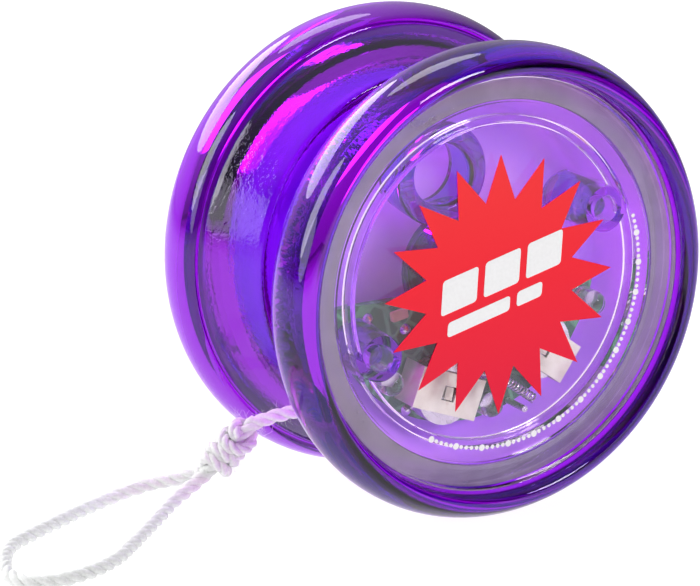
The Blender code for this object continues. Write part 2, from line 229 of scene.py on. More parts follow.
def finish_mesh(name, bm, material, matrix, smooth=SHARP_ANGLE):
    """Places a bmesh in the world as an object; smooth is its sharp angle, or 0 for flat faces."""
    bmesh.ops.transform(bm, matrix=matrix, verts=bm.verts)
    bmesh.ops.recalc_face_normals(bm, faces=bm.faces)
    mesh = bpy.data.meshes.new(name)
    bm.to_mesh(mesh)
    bm.free()
    if material:
        mesh.materials.append(material)
    if smooth:
        mesh.shade_smooth()
        mesh.set_sharp_from_angle(angle=math.radians(smooth))
    obj = bpy.data.objects.new(name, mesh)
    bpy.context.collection.objects.link(obj)
    return obj


def turned(profile, steps, at=(0.0, 0.0)):
    """Closed solid turned about Z from (radius, height) points; a point at radius 0 is a pole."""
    bm = bmesh.new()
    rings = []
    for radius, height in profile:
        if radius == 0:
            rings.append([bm.verts.new((at[0], at[1], height))])
            continue
        ring = []
        for step in range(steps):
            angle = 2 * math.pi * step / steps
            x = at[0] + radius * math.cos(angle)
            y = at[1] + radius * math.sin(angle)
            ring.append(bm.verts.new((x, y, height)))
        rings.append(ring)
    for lower, upper in zip(rings, rings[1:] + rings[:1]):
        if len(lower) == 1 and len(upper) == 1:
            continue
        for step in range(steps):
            after = (step + 1) % steps
            corners = [lower[step % len(lower)], lower[after % len(lower)],
                       upper[after % len(upper)], upper[step % len(upper)]]
            bm.faces.new(list(dict.fromkeys(corners)))
    return bm


def rounded(profile, radii, steps=5):
    """Closed (radius, height) outline with the corners named in radii turned into arcs."""
    result = []
    count = len(profile)
    for index, point in enumerate(profile):
        radius = radii.get(index, 0)
        if not radius:
            result.append(point)
            continue
        here = Vector(point)
        back = (Vector(profile[index - 1]) - here).normalized()
        ahead = (Vector(profile[(index + 1) % count]) - here).normalized()
        half = back.angle(ahead) / 2
        reach = radius / math.tan(half)
        middle = here + (back + ahead).normalized() * (radius / math.sin(half))
        start = here + back * reach - middle
        end = here + ahead * reach - middle
        for step in range(steps + 1):
            spoke = start.slerp(end, step / steps)
            result.append(tuple(middle + spoke))
    return result


def slab(outline, low, high):
    """A new bmesh with one flat plate."""
    bm = bmesh.new()
    add_slab(bm, outline, low, high)
    return bm


def add_slab(bm, outline, low, high):
    """Adds a flat plate of an outline, from height low to high, to bm."""
    bottom = [bm.verts.new((x, y, low)) for x, y in outline]
    top = [bm.verts.new((x, y, high)) for x, y in outline]
    bm.faces.new(list(reversed(bottom)))
    bm.faces.new(top)
    for index in range(len(outline)):
        after = (index + 1) % len(outline)
        bm.faces.new((bottom[index], bottom[after], top[after], top[index]))


def combine(target, tool, operation):
    """Applies an exact boolean and removes the tool."""
    modifier = target.modifiers.new("cut", "BOOLEAN")
    modifier.operation = operation
    modifier.solver = "EXACT"
    modifier.object = tool
    evaluated = target.evaluated_get(bpy.context.evaluated_depsgraph_get())
    mesh = bpy.data.meshes.new_from_object(evaluated)
    target.modifiers.clear()
    target.data = mesh
    bpy.data.objects.remove(tool, do_unlink=True)
    mesh.shade_smooth()
    mesh.set_sharp_from_angle(angle=math.radians(SHARP_ANGLE))


def sweep(bm, points, radius, sides):
    """Adds a closed round tube along the points; radius may be a function of the point's share."""
    rings = []
    side_way = None
    last = len(points) - 1
    for index, point in enumerate(points):
        ahead = (points[min(index + 1, last)] - points[max(index - 1, 0)]).normalized()
        if side_way is None:
            side_way = ahead.orthogonal()
        side_way = (side_way - ahead * side_way.dot(ahead)).normalized()
        third = ahead.cross(side_way)
        here = radius(index / last) if callable(radius) else radius
        ring = []
        for step in range(sides):
            angle = 2 * math.pi * step / sides
            spoke = math.cos(angle) * side_way + math.sin(angle) * third
            ring.append(bm.verts.new(point + here * spoke))
        rings.append(ring)
    for first, second in zip(rings, rings[1:]):
        for step in range(sides):
            after = (step + 1) % sides
            bm.faces.new((first[step], first[after], second[after], second[step]))
    bm.faces.new(list(reversed(rings[0])))
    bm.faces.new(rings[-1])


# ---------------------------------------------------------------- materials

def new_material(name):
    """A new material with its nodes and links."""
    material = bpy.data.materials.new(name)
    material.use_nodes = True
    return material, material.node_tree.nodes, material.node_tree.links


def noise_node(nodes, links, scale, detail=3.0, roughness=0.5):
    """Noise in the object's own metres."""
    where = nodes.new("ShaderNodeTexCoord")
    texture = nodes.new("ShaderNodeTexNoise")
    texture.inputs["Scale"].default_value = scale
    texture.inputs["Detail"].default_value = detail
    texture.inputs["Roughness"].default_value = roughness
    links.new(where.outputs["Object"], texture.inputs["Vector"])
    return texture


def ramp_node(nodes, links, source, stops):
    """Colour ramp with (position, colour) stops."""
    ramp = nodes.new("ShaderNodeValToRGB")
    links.new(source, ramp.inputs["Fac"])
    elements = ramp.color_ramp.elements
    while len(elements) < len(stops):
        elements.new(0.5)
    for element, (position, colour) in zip(elements, stops):
        element.position = position
        element.color = (*colour, 1.0)
    return ramp


def add_bump(nodes, links, source, shader, strength, distance):
    """Fine relief on the shader's surface; distance is its depth in metres."""
    bump = nodes.new("ShaderNodeBump")
    bump.inputs["Strength"].default_value = strength
    bump.inputs["Distance"].default_value = distance
    links.new(source, bump.inputs["Height"])
    links.new(bump.outputs["Normal"], shader.inputs["Normal"])


def let_lamps_through(nodes, links, colour):
    """Lamp rays pass, so that what is inside is lit."""
    path = nodes.new("ShaderNodeLightPath")
    passing = nodes.new("ShaderNodeBsdfTransparent")
    passing.inputs["Color"].default_value = (*colour, 1.0)
    mix = nodes.new("ShaderNodeMixShader")
    links.new(path.outputs["Is Shadow Ray"], mix.inputs["Fac"])
    links.new(nodes["Principled BSDF"].outputs["BSDF"], mix.inputs[1])
    links.new(passing.outputs["BSDF"], mix.inputs[2])
    links.new(mix.outputs["Shader"], nodes["Material Output"].inputs["Surface"])


def clear_plastic(name, tint, depth_colour, density, ior=1.5, scuffed=False):
    """Moulded clear plastic: it darkens and saturates with thickness, and lets lamp light in."""
    material, nodes, links = new_material(name)
    shader = nodes["Principled BSDF"]
    shader.inputs["Base Color"].default_value = (*tint, 1.0)
    shader.inputs["Transmission Weight"].default_value = 1.0
    shader.inputs["IOR"].default_value = ior
    flow = noise_node(nodes, links, 90.0, 2.0)
    polish = ramp_node(nodes, links, flow.outputs["Fac"],
                       [(0.3, (0.008,) * 3), (0.75, (0.022,) * 3)])
    links.new(polish.outputs["Color"], shader.inputs["Roughness"])
    add_bump(nodes, links, flow.outputs["Fac"], shader, 0.06, 0.0004)
    if scuffed:
        scuff_flank(nodes, links, shader)
    volume = nodes.new("ShaderNodeVolumeAbsorption")
    volume.inputs["Color"].default_value = (*depth_colour, 1.0)
    volume.inputs["Density"].default_value = density
    links.new(volume.outputs["Volume"], nodes["Material Output"].inputs["Volume"])
    let_lamps_through(nodes, links, (1.0, 0.985, 1.0))
    return material


def range_node(nodes, links, source, start, end):
    """Rises from 0 at start to 1 at end; both are in metres."""
    mapping = nodes.new("ShaderNodeMapRange")
    mapping.inputs["From Min"].default_value = start
    mapping.inputs["From Max"].default_value = end
    links.new(source, mapping.inputs["Value"])
    return mapping


def scuff_flank(nodes, links, shader):
    """Fine grain on the flank, where the string rubs; the rest of the shell stays glossy."""
    where = nodes.new("ShaderNodeTexCoord")
    split = nodes.new("ShaderNodeSeparateXYZ")
    links.new(where.outputs["Object"], split.inputs["Vector"])
    off_middle = nodes.new("ShaderNodeMath")
    off_middle.operation = "ABSOLUTE"
    links.new(split.outputs["Y"], off_middle.inputs[0])
    spoke = nodes.new("ShaderNodeVectorMath")
    spoke.operation = "MULTIPLY_ADD"
    spoke.inputs[1].default_value = (1, 0, 1)
    spoke.inputs[2].default_value = (0, 0, -AXLE_HEIGHT * MM)
    links.new(where.outputs["Object"], spoke.inputs[0])
    reach = nodes.new("ShaderNodeVectorMath")
    reach.operation = "LENGTH"
    links.new(spoke.outputs["Vector"], reach.inputs[0])
    height = noise_node(nodes, links, 1900.0, 2.0, 0.6).outputs["Fac"]
    for distance, (start, end) in ((off_middle, SCUFF_Z), (reach, SCUFF_R)):
        limit = range_node(nodes, links, distance.outputs["Value"], start * MM, end * MM)
        product = nodes.new("ShaderNodeMath")
        product.operation = "MULTIPLY"
        links.new(height, product.inputs[0])
        links.new(limit.outputs["Result"], product.inputs[1])
        height = product.outputs["Value"]
    smooth = shader.inputs["Normal"].links[0].from_socket
    bump = nodes.new("ShaderNodeBump")
    bump.inputs["Strength"].default_value = 0.33
    bump.inputs["Distance"].default_value = 0.0001
    links.new(smooth, bump.inputs["Normal"])
    links.new(height, bump.inputs["Height"])
    links.new(bump.outputs["Normal"], shader.inputs["Normal"])


def metal(name, light, dark, roughness):
    """Sheet or drawn metal, mottled in colour and gloss."""
    material, nodes, links = new_material(name)
    shader = nodes["Principled BSDF"]
    shader.inputs["Metallic"].default_value = 1.0
    grain = noise_node(nodes, links, 500.0, 5.0, 0.6)
    colour = ramp_node(nodes, links, grain.outputs["Fac"], [(0.3, dark), (0.7, light)])
    links.new(colour.outputs["Color"], shader.inputs["Base Color"])
    wear = ramp_node(nodes, links, grain.outputs["Fac"],
                     [(0.3, (roughness * 1.5,) * 3), (0.7, (roughness * 0.8,) * 3)])
    links.new(wear.outputs["Color"], shader.inputs["Roughness"])
    add_bump(nodes, links, grain.outputs["Fac"], shader, 0.2, 0.00005)
    return material


def plain_plastic(name, light, dark, roughness, scale=700.0, bump=0.15):
    """Opaque moulding or print with a fine uneven surface."""
    material, nodes, links = new_material(name)
    shader = nodes["Principled BSDF"]
    grain = noise_node(nodes, links, scale, 4.0)
    colour = ramp_node(nodes, links, grain.outputs["Fac"], [(0.35, dark), (0.65, light)])
    links.new(colour.outputs["Color"], shader.inputs["Base Color"])
    wear = ramp_node(nodes, links, grain.outputs["Fac"],
                     [(0.3, (roughness * 1.25,) * 3), (0.7, (roughness * 0.85,) * 3)])
    links.new(wear.outputs["Color"], shader.inputs["Roughness"])
    add_bump(nodes, links, grain.outputs["Fac"], shader, bump, 0.00006)
    return material


def board_material():
    """Green solder mask over copper tracks that show as lighter veins."""
    material, nodes, links = new_material("board_green")
    shader = nodes["Principled BSDF"]
    where = nodes.new("ShaderNodeTexCoord")
    tracks = nodes.new("ShaderNodeTexVoronoi")
    tracks.feature = "DISTANCE_TO_EDGE"
    tracks.inputs["Scale"].default_value = 330.0
    links.new(where.outputs["Object"], tracks.inputs["Vector"])
    colour = ramp_node(nodes, links, tracks.outputs["Distance"],
                       [(0.0, (0.10, 0.42, 0.17)), (0.06, (0.08, 0.36, 0.14)),
                        (0.09, (0.012, 0.16, 0.06)), (1.0, (0.012, 0.13, 0.05))])
    links.new(colour.outputs["Color"], shader.inputs["Base Color"])
    shader.inputs["Roughness"].default_value = 0.35
    add_bump(nodes, links, tracks.outputs["Distance"], shader, 0.2, 0.0001)
    return material


def string_material():
    """Bleached cotton: soft, slightly uneven, with fine fibres along the plies."""
    material, nodes, links = new_material("string_cotton")
    shader = nodes["Principled BSDF"]
    fibre = noise_node(nodes, links, 2600.0, 6.0, 0.7)
    colour = ramp_node(nodes, links, fibre.outputs["Fac"],
                       [(0.25, (0.68, 0.69, 0.68)), (0.6, (0.83, 0.84, 0.83))])
    links.new(colour.outputs["Color"], shader.inputs["Base Color"])
    shader.inputs["Roughness"].default_value = 0.95
    shader.inputs["Sheen Weight"].default_value = 0.35
    shader.inputs["Sheen Roughness"].default_value = 0.5
    shader.inputs["Subsurface Weight"].default_value = 0.25
    shader.inputs["Subsurface Radius"].default_value = (0.0006, 0.0006, 0.0006)
    shader.inputs["Subsurface Scale"].default_value = 0.5
    add_bump(nodes, links, fibre.outputs["Fac"], shader, 0.6, 0.00012)
    return material


def grey_painted_reflection():
    """Matt grey, half see-through ring under the cap's edge; its grey is a painted reflection of the
    surroundings in the flat ring between cap and seat.
    """
    material, nodes, links = new_material("grey_painted_reflection")
    shader = nodes["Principled BSDF"]
    mottle = noise_node(nodes, links, 260.0, 4.0, 0.6)
    # painted reflection: this grey stands for the surroundings mirrored in the flat ring, mottled at
    # random
    colour = ramp_node(nodes, links, mottle.outputs["Fac"],
                       [(0.3, (0.20, 0.19, 0.22)), (0.7, (0.29, 0.28, 0.32))])
    links.new(colour.outputs["Color"], shader.inputs["Base Color"])
    shader.inputs["Roughness"].default_value = 0.6
    shader.inputs["Alpha"].default_value = 0.58
    return material


def frosted_liner():
    """Fine spark-eroded inner face of the violet shells: milky, and lit from inside."""
    material, nodes, links = new_material("frosted_violet")
    shader = nodes["Principled BSDF"]
    mottle = noise_node(nodes, links, 150.0, 4.0, 0.55)
    colour = ramp_node(nodes, links, mottle.outputs["Fac"],
                       [(0.3, (0.60, 0.34, 0.92)), (0.7, (0.72, 0.44, 0.98))])
    links.new(colour.outputs["Color"], shader.inputs["Base Color"])
    shader.inputs["Roughness"].default_value = 0.55
    shader.inputs["Transmission Weight"].default_value = 0.5
    shader.inputs["IOR"].default_value = 1.1
    grain = noise_node(nodes, links, 1800.0, 3.0, 0.6)
    add_bump(nodes, links, grain.outputs["Fac"], shader, 0.3, 0.00004)
    let_lamps_through(nodes, links, (0.98, 0.95, 1.0))
    return material


def label_material():
    """Red print that fades from warm at the top to deeper at the bottom."""
    material, nodes, links = new_material("label_print")
    shader = nodes["Principled BSDF"]
    where = nodes.new("ShaderNodeTexCoord")
    split = nodes.new("ShaderNodeSeparateXYZ")
    links.new(where.outputs["Generated"], split.inputs["Vector"])
    colour = ramp_node(nodes, links, split.outputs["Z"],
                       [(0.1, (0.86, 0.004, 0.04)), (0.55, (0.97, 0.012, 0.03)),
                        (0.9, (1.0, 0.03, 0.035))])
    links.new(colour.outputs["Color"], shader.inputs["Base Color"])
    grain = noise_node(nodes, links, 3000.0, 2.0)
    wear = ramp_node(nodes, links, grain.outputs["Fac"], [(0.3, (0.55,) * 3), (0.7, (0.45,) * 3)])
    links.new(wear.outputs["Color"], shader.inputs["Roughness"])
    shader.inputs["Specular IOR Level"].default_value = 0.25
    return material


LOOKS = {
    "purple": clear_plastic("violet_plastic", (0.33, 0.045, 0.82), (0.92, 0.0, 0.90), 300.0,
                            scuffed=True),
    "cap": clear_plastic("clear_plastic", (0.98, 0.96, 1.0), (0.67, 0.0, 0.94), 40.0),
    # grey ring under the cap's edge: painted reflection
    "painted_reflection_ring": grey_painted_reflection(),
    "liner": frosted_liner(),
    "led": clear_plastic("led_epoxy", (0.98, 0.98, 1.0), (0.9, 0.9, 0.95), 20.0, 1.54),
    "steel": metal("bright_steel", (0.78, 0.78, 0.79), (0.55, 0.55, 0.57), 0.22),
    "nickel": metal("nickel_sheet", (0.88, 0.92, 0.72), (0.78, 0.80, 0.60), 0.38),
    "board": board_material(),
    "sleeve": plain_plastic("sleeve_white", (0.86, 0.86, 0.84), (0.80, 0.80, 0.78), 0.4),
    "label": label_material(),
    "print": plain_plastic("print_white", (0.97, 0.97, 0.97), (0.93, 0.93, 0.93), 0.4,
                           2500.0, 0.05),
    "string": string_material(),
    "part": plain_plastic("small_part_cream", (0.62, 0.50, 0.30), (0.50, 0.38, 0.20), 0.5, 900.0),
}


# ---------------------------------------------------------------- camera

def make_camera():
    """Looks at the toy from the left of its front and a little above, through a long lens."""
    azimuth = math.radians(CAM_AZIMUTH)
    elevation = math.radians(CAM_ELEVATION)
    level = math.cos(elevation)
    back = Vector((math.sin(azimuth) * level, -math.cos(azimuth) * level, math.sin(elevation)))
    right = Vector((math.cos(azimuth), math.sin(azimuth), 0))
    up = back.cross(right)
    middle = Vector((0, 0, AXLE_HEIGHT))
    place = middle + right * CAM_RIGHT + up * CAM_UP + back * CAM_DISTANCE
    data = bpy.data.cameras.new("camera")
    data.lens = CAM_LENS
    data.sensor_width = 36
    data.clip_start = 0.01
    data.clip_end = 20
    camera = bpy.data.objects.new("camera", data)
    turn = Matrix((right, up, back)).transposed().to_4x4()
    camera.matrix_world = Matrix.Translation(place * MM) @ turn
    bpy.context.collection.objects.link(camera)
    bpy.context.scene.camera = camera


make_camera()


# ---------------------------------------------------------------- string

def coil_points():
    """The wound string: two turns side by side in each layer, from the sleeve outwards."""
    points = []
    steps = 40
    turns = 2 * COIL_LAYERS
    for step in range(turns * steps + 1):
        turn = step / steps
        layer = int(turn // 2)
        inside = turn - 2 * layer
        # climbs to the next layer near the end of its second turn
        rise = min(max((inside - 1.7) / 0.3, 0), 1)
        rise = rise * rise * (3 - 2 * rise)
        if layer >= COIL_LAYERS - 1:
            rise = 0
        radius = COIL_FIRST_R + COIL_LAYER * (layer + rise)
        # crosses to the other side between its two turns
        swap = min(max((inside - 0.85) / 0.3, 0), 1)
        swap = swap * swap * (3 - 2 * swap)
        side = COIL_SIDE * (-1 if layer % 2 == 0 else 1) * (1 - 2 * swap)
        if turn > turns - 1:
            # comes back to the middle of the gap before it leaves
            side *= max(0.0, 1 - (turn - turns + 1) * 1.2)
        angle = 2 * math.pi * turn - math.pi / 2
        # mirrored in X, so that the end leaves the bottom of the coil towards -X
        height = AXLE_HEIGHT + radius * math.sin(angle)
        points.append(Vector((-radius * math.cos(angle), side, height)))
    return points


def string_path():
    """The whole string: coil, free stretch, straight through the knot, round the loop and back."""
    coil = coil_points()
    free = smooth_route(LEAD_ROUTE + (KNOT_FROM, KNOT_TO) + LOOP_ROUTE + (KNOT_TO,), 0.45)
    leaving = smooth_route([coil[-1], (-3.8, 0, AXLE_HEIGHT - 14.45), free[0]], 0.5)
    return even_steps(coil, 0.6)[:-1] + leaving[:-1] + free


def add_strands(bm, points, radius, strand_radius, pitch, swell):
    """Adds three twisted plies along the points; swell is how unevenly they lie."""
    side_way = None
    frames = []
    last = len(points) - 1
    travelled = 0.0
    for index, point in enumerate(points):
        ahead = (points[min(index + 1, last)] - points[max(index - 1, 0)]).normalized()
        if side_way is None:
            side_way = ahead.orthogonal()
        side_way = (side_way - ahead * side_way.dot(ahead)).normalized()
        if index:
            travelled += (point - points[index - 1]).length
        frames.append((point, side_way.copy(), ahead.cross(side_way), travelled))
    for strand in range(3):
        line = []
        for point, side, third, length in frames:
            uneven = 1 + swell * noise.noise(Vector((length * 0.35, strand * 7.1, 0.3)))
            angle = 2 * math.pi * (length / pitch + strand / 3)
            spoke = math.cos(angle) * side + math.sin(angle) * third
            line.append(point + radius * uneven * spoke)
        sweep(bm, line, strand_radius, 8)


def make_fuzz(points, count, seed, reach):
    """Fine loose fibres, up to reach long, that stand off the string."""
    rng = random.Random(seed)
    bm = bmesh.new()
    for _ in range(count):
        index = rng.randrange(1, len(points) - 1)
        ahead = (points[index + 1] - points[index - 1]).normalized()
        out = ahead.orthogonal().normalized()
        out.rotate(Matrix.Rotation(rng.uniform(0, 2 * math.pi), 3, ahead))
        start = points[index] + out * STRING_D * 0.42
        way = (out + ahead * rng.uniform(-1.3, 1.3)).normalized()
        length = rng.uniform(0.3, 1.0) * reach
        bend = Vector((rng.uniform(-1, 1), rng.uniform(-1, 1), rng.uniform(-0.6, 0.6))) * 0.6
        fibre = []
        for step in range(5):
            share = step / 4
            place = start + way * length * share + bend * length * share * share
            place.z = max(place.z, 0.06)
            fibre.append(place)
        sweep(bm, fibre, lambda share: 0.016 * (1 - 0.6 * share), 3)
    return bm


def knot_line(turns, rise, bulge, lean, start_turn):
    """A wrap of the knot, from one share of its length to another, swollen in the middle."""
    start, end = Vector(KNOT_FROM), Vector(KNOT_TO)
    axis = end - start
    way = axis.normalized()
    side = way.orthogonal().normalized()
    third = way.cross(side)
    points = []
    for step in range(int(turns * 40) + 1):
        turn = step / 40
        share = turn / turns
        angle = 2 * math.pi * (turn + start_turn)
        along = rise[0] + (rise[1] - rise[0]) * share
        radius = bulge * (0.82 + 0.30 * math.sin(math.pi * share))
        tilt = lean * math.cos(angle)
        spoke = math.cos(angle) * side + math.sin(angle) * third
        points.append(start + axis * along + way * tilt + radius * spoke)
    return points


def make_string():
    """The whole string, its knot and its loose fibres, all attached to the string's body."""
    path = string_path()
    to_metres = Matrix.Scale(MM, 4)
    cotton = LOOKS["string"]
    bm = bmesh.new()
    add_strands(bm, path, PLY_AT_R, PLY_R, PLY_PITCH, swell=0.08)
    string = finish_mesh("string", bm, cotton, to_metres, smooth=60)

    bm = bmesh.new()
    fuzz_line = []
    for turns, rise, radius, fuzz_radius, lean, start_turn in KNOT_WRAPS:
        add_strands(bm, knot_line(turns, rise, radius, lean, start_turn), radius=0.36,
                    strand_radius=0.42, pitch=3.4, swell=0.15)
        fuzz_line += knot_line(turns, rise, fuzz_radius, lean, start_turn)
    knot = finish_mesh("knot", bm, cotton, to_metres, smooth=60)

    fibres = make_fuzz(path[-FREE_POINTS:], count=1200, seed=5, reach=1.1)
    fuzz = finish_mesh("string_fuzz", fibres, cotton, to_metres, smooth=0)
    fibres = make_fuzz(fuzz_line, count=700, seed=8, reach=1.6)
    knot_fuzz = finish_mesh("knot_fuzz", fibres, cotton, to_metres, smooth=0)

    for piece in (string, knot, fuzz, knot_fuzz):
        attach(piece, HELD)
    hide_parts("string_winding", "string_lead", "finger_loop")
    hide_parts("loop_knot")


make_string()


# ---------------------------------------------------------------- plastic halves

def shell_outline():
    """A half shell's section: out along the string side, over the rim and back inside."""
    gap_side = [(BORE_R, GAP_FACE_Z), (14.0, GAP_FACE_Z), (21.5, 2.75)]
    waist = arc(21.35, 3.75, 0.95, -80, -25, 6)
    flank = [(26.0, 8.3)]
    groove = arc(26.95, 8.5, 0.75, 155, 75, 5)
    band = arc(RIM_R - BAND_R, 12.85, BAND_R, -36, 33, 20)
    lip = [(27.35, 16.35), (27.05, 16.75), (26.65, 17.03), (26.2, 17.17), (25.8, 17.18),
           (25.45, 17.02), (25.2, 16.7)]
    seat = [(25.1, 16.3), (25.1, LEDGE_Z), (LEDGE_R, LEDGE_Z), (LEDGE_R, 9.0), (20.4, 4.9),
            (20.0, 4.3), (19.3, 3.9)]
    inside = [(14.0, WALL_Z), (6.9, WALL_Z), (HUB_R, 3.9), (HUB_R, HUB_TOP_Z), (BORE_R, HUB_TOP_Z)]
    return gap_side + waist + flank + groove + band + lip + seat + inside


def make_shell(side):
    """The violet half shell with its pins, cup and nut pocket."""
    matrix = half_matrix(side)
    name = side + "_shell"
    shell = finish_mesh(name + "_clear", turned(shell_outline(), FINE), LOOKS["purple"], matrix)
    foot = POST_FOOT_Z
    for place in POST_AT:
        pin = turned([(0, foot), (PIN_R, foot), (PIN_R, 11.1), (1.22, 11.42), (0.95, 11.6),
                      (0, 11.65)], 40, polar(*place))
        combine(shell, finish_mesh("pin", pin, None, matrix), "UNION")
    cup = rounded([(CUP_IN_R, foot), (CUP_OUT_R, foot), (CUP_OUT_R, CUP_TOP_Z),
                   (CUP_IN_R, CUP_TOP_Z)], {2: 0.35, 3: 0.35})
    combine(shell, finish_mesh("cup", turned(cup, 72, polar(*CUP_AT)), None, matrix), "UNION")
    pocket = slab([polar(NUT_ACROSS / math.sqrt(3), 60 * corner) for corner in range(6)],
                  NUT_FLOOR_Z, HUB_TOP_Z + 1)
    combine(shell, finish_mesh("pocket", pocket, None, matrix), "DIFFERENCE")
    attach(shell, SPIN)
    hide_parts(name)


def make_cap(side):
    """The clear cap with its locating ring and two hollow posts."""
    matrix = half_matrix(side)
    top = [(0, CAP_TOP_Z), (21.9, CAP_TOP_Z), (22.3, CAP_TOP_Z + 0.03), (24.2, 15.52),
           (24.5, 15.57), (24.7, 15.45), (CAP_R, 15.2), (CAP_R, FLANGE_Z)]
    locating_ring = [(20.0, CAP_UNDER_Z), (20.0, 11.95), (19.85, 11.8), (19.15, 11.8),
                     (19.0, 11.95), (19.0, CAP_UNDER_Z)]
    under = [(21.6, FLANGE_Z), (21.6, CAP_UNDER_Z), *locating_ring, (0, CAP_UNDER_Z)]
    cap = finish_mesh(side + "_cap_clear", turned(top + under, FINE), LOOKS["cap"], matrix)
    for place in POST_AT:
        ring = rounded([(POST_IN_R, POST_END_Z), (POST_OUT_R, POST_END_Z), (POST_OUT_R, FLANGE_Z),
                        (POST_IN_R, FLANGE_Z)], {0: 0.2, 1: 0.2})
        combine(cap, finish_mesh("post", turned(ring, 48, polar(*place)), None, matrix), "UNION")
    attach(cap, SPIN)
    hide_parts(side + "_cap")


def make_painted_reflection_ring(side):
    """The matt grey ring under the cap's edge, over its seat in the shell: a painted reflection of
    the surroundings.
    """
    low, high = LEDGE_Z + 0.1, LEDGE_Z + 0.2
    profile = [(22.0, low), (24.6, low), (24.6, high), (22.0, high)]
    painted_reflection_ring = finish_mesh(side + "_cap_painted_reflection_ring", turned(profile, FINE), LOOKS["painted_reflection_ring"], half_matrix(side))
    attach(painted_reflection_ring, SPIN)


def make_liner(side):
    """The shell's milky inner face, as a skin just inside it, open round the cup and the pins."""
    matrix = half_matrix(side)
    low, high = WALL_Z + 0.03, WALL_Z + 0.09
    wall = [(7.0, low), (14.0, low), (19.3, 3.93), (20.0, 4.33), (20.38, 4.93), (21.86, 9.0),
            (21.86, 13.2)]
    skin = [(radius - SKIN, height) if radius > 20 else (radius, height + high - low)
            for radius, height in reversed(wall)]
    liner = finish_mesh(side + "_shell_liner", turned(wall + skin, FINE), LOOKS["liner"], matrix)
    holes = [(CUP_OUT_R + SKIN, CUP_AT)] + [(PIN_R + SKIN, post) for post in POST_AT]
    for radius, place in holes:
        hole = turned([(0, 3.0), (radius, 3.0), (radius, 8.0), (0, 8.0)], 72, polar(*place))
        combine(liner, finish_mesh("hole", hole, None, matrix), "DIFFERENCE")
    cup_r = CUP_IN_R - SKIN
    cup_floor = finish_mesh(
        side + "_cup_liner",
        turned([(0, low), (cup_r, low), (cup_r, high), (0, high)], 72, polar(*CUP_AT)),
        LOOKS["liner"], matrix)
    for piece in (liner, cup_floor):
        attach(piece, SPIN)


def make_label(side):
    """A plain burst of equal points with plain white shapes, flat on the cap."""
    matrix = half_matrix(side)
    outline = []
    for index in range(2 * BURST_POINTS):
        radius = BURST_NOTCH_R if index % 2 else BURST_TIP_R
        outline.append(polar(radius, 180.0 * index / BURST_POINTS))
    burst = slab(outline, CAP_TOP_Z + 0.02, CAP_TOP_Z + 0.14)
    label = finish_mesh(side + "_burst", burst, LOOKS["label"], matrix, 0)
    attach(label, SPIN)
    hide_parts(side + "_label")
    bm = bmesh.new()
    for left, right, low, high in MARKS:
        outline = []
        east, west = right - MARK_CORNER, left + MARK_CORNER
        north, south = high - MARK_CORNER, low + MARK_CORNER
        for x, y, start in ((east, north, 0), (west, north, 90), (west, south, 180),
                            (east, south, 270)):
            for step in range(4):
                across, along = polar(MARK_CORNER, start + 30 * step)
                outline.append((x + across + MARK_LEAN * (y + along), y + along))
        add_slab(bm, outline, CAP_TOP_Z + 0.15, CAP_TOP_Z + 0.19)
    tilt = Matrix.Rotation(math.radians(MARK_TILT), 4, "Z")
    bmesh.ops.transform(bm, matrix=tilt, verts=bm.verts)
    marks = finish_mesh(side + "_burst_marks", bm, LOOKS["print"], matrix, 0)
    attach(marks, SPIN)


def make_dot_ring(side):
    """Fine white dots printed along part of the cap's edge."""
    bm = bmesh.new()
    for index in range(DOTS):
        x, y = polar(DOTS_R, DOTS_START + DOTS_STEP * index)
        size = 0.26 if index % 5 else 0.42
        add_slab(bm, arc(x, y, size, 0, 315, 7), CAP_TOP_Z + 0.01, CAP_TOP_Z + 0.05)
    dots = finish_mesh(side + "_dot_ring", bm, LOOKS["print"], half_matrix(side), 0)
    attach(dots, SPIN)


def make_led(side, number, x, y):
    """Clear domed body with the lead frame inside."""
    matrix = half_matrix(side)
    dome = PART_Z + 3.0
    foot = [(0, PART_Z), (1.7, PART_Z), (1.7, PART_Z + 0.45), (1.62, PART_Z + 0.55),
            (LED_R, PART_Z + 0.6)]
    body = turned(foot + arc(0, dome, LED_R, 0, 88, 9) + [(0, dome + LED_R)], 40, (x, y))
    led = finish_mesh(f"{side}_led_body_{number}", body, LOOKS["led"], matrix)
    bm = bmesh.new()
    for shift, width, high in ((-0.45, 0.25, 2.5), (0.35, 0.5, 2.2)):
        foot, tip = (Vector((x + shift, y, PART_Z + rise)) for rise in (0.1, high))
        sweep(bm, [foot, tip], width, 6)
    lead = finish_mesh(f"{side}_led_frame_{number}", bm, LOOKS["steel"], matrix, 30)
    for piece, finish in ((led, "led"), (lead, "steel")):
        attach(piece, SPIN)
    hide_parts(f"{side}_led_{number}")


def make_spring(side):
    """Fine coil spring of the switch."""
    start, end = Vector(SPRING_FROM), Vector(SPRING_TO)
    along = end - start
    out = Vector((0, 0, 1))
    across = along.cross(out).normalized()
    points = []
    steps = SPRING_TURNS * 16
    for step in range(steps + 1):
        angle = 2 * math.pi * step / 16
        swing = across * math.cos(angle) + out * math.sin(angle)
        points.append(start + along * (step / steps) + swing * SPRING_COIL_R)
    bm = bmesh.new()
    sweep(bm, points, SPRING_WIRE_R, 8)
    spring = finish_mesh(side + "_fine_spring", bm, LOOKS["steel"], half_matrix(side))
    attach(spring, SPIN)
    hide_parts(side + "_switch_spring")


def add_block(bm, place, turn, lean, size):
    """Adds a small block, turned about Z and leaning about its own X, in degrees."""
    body = bmesh.ops.create_cube(bm, size=1.0)
    matrix = Matrix.Translation(place) @ Matrix.Rotation(math.radians(turn), 4, "Z")
    matrix = matrix @ Matrix.Rotation(math.radians(lean), 4, "X") @ Matrix.Diagonal((*size, 1))
    bmesh.ops.transform(bm, matrix=matrix, verts=body["verts"])


